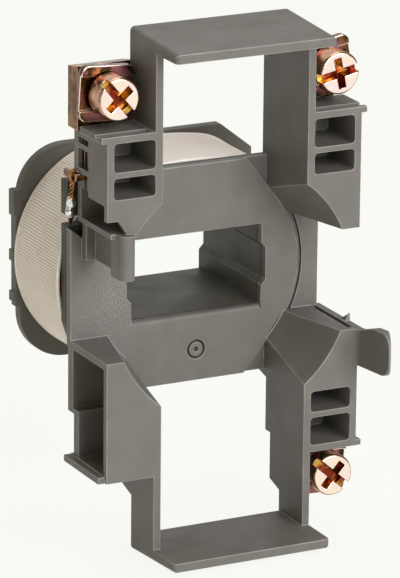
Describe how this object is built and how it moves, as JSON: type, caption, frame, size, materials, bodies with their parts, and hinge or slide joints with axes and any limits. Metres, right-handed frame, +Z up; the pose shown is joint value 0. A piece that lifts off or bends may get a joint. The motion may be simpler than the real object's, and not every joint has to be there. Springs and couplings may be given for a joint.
{
  "type": "contactor coil",
  "caption": "Wound coil on a bobbin behind an open moulded frame with screw terminals, pockets and a pull tab, for a contactor's control circuit.",
  "frame": {"origin": "centre of the core window, on the front face of the frame's disc", "axes": "+X right seen from the front, +Y back along the core tunnel, +Z up along the frame's long side"},
  "size_m": [0.0485, 0.0446, 0.086],
  "materials": {
    "frame_plastic": "matte",
    "bobbin_plastic": "matte",
    "copper": "satin",
    "woven_tape": "woven",
    "chromated_steel": "yellow chromate",
    "tinned_strip": "satin",
    "solder": "bright"
  },
  "bodies": {
    "frame": {"coil_frame": "frame_plastic", "bobbin": "bobbin_plastic", "copper_winding": "copper", "outer_tape": "woven_tape", "terminal_a1": "chromated_steel", "terminal_a2_upper": "chromated_steel", "terminal_a2_lower": "chromated_steel", "a2_link_strip": "tinned_strip", "start_lead": "copper", "start_lead_wrap": "copper", "solder_a1": "solder", "finish_lead": "copper", "solder_a2_lead": "solder", "solder_strip_upper": "solder", "solder_strip_lower": "solder"},
    "clamp_a1": {"washer_a1": "chromated_steel"},
    "turn_a1": {"screw_a1": "chromated_steel"},
    "clamp_a2_upper": {"washer_a2_upper": "chromated_steel"},
    "turn_a2_upper": {"screw_a2_upper": "chromated_steel"},
    "clamp_a2_lower": {"washer_a2_lower": "chromated_steel"},
    "turn_a2_lower": {"screw_a2_lower": "chromated_steel"}
  },
  "joints": [
    {"name": "clamp_a1_slide", "type": "slide", "parent": "frame", "child": "clamp_a1", "axis": [0, 1, 0], "range_m": [0, 0.0018]},
    {"name": "screw_a1_turn", "type": "hinge", "parent": "clamp_a1", "child": "turn_a1", "pos_m": [-0.0193, -0.0075, 0.03355], "axis": [0, 1, 0], "range_deg": [0, 1080]},
    {"name": "clamp_a2_upper_slide", "type": "slide", "parent": "frame", "child": "clamp_a2_upper", "axis": [0, 1, 0], "range_m": [0, 0.0018]},
    {"name": "screw_a2_upper_turn", "type": "hinge", "parent": "clamp_a2_upper", "child": "turn_a2_upper", "pos_m": [0.0193, -0.0075, 0.03355], "axis": [0, 1, 0], "range_deg": [0, 1080]},
    {"name": "clamp_a2_lower_slide", "type": "slide", "parent": "frame", "child": "clamp_a2_lower", "axis": [0, 1, 0], "range_m": [0, 0.0018]},
    {"name": "screw_a2_lower_turn", "type": "hinge", "parent": "clamp_a2_lower", "child": "turn_a2_lower", "pos_m": [0.0193, -0.0075, -0.03355], "axis": [0, 1, 0], "range_deg": [0, 1080]}
  ],
  "couplings": [
    {"joint": "screw_a1_turn", "follows": "clamp_a1_slide", "rad_per_m": 10472},
    {"joint": "screw_a2_upper_turn", "follows": "clamp_a2_upper_slide", "rad_per_m": 10472},
    {"joint": "screw_a2_lower_turn", "follows": "clamp_a2_lower_slide", "rad_per_m": 10472}
  ]
}
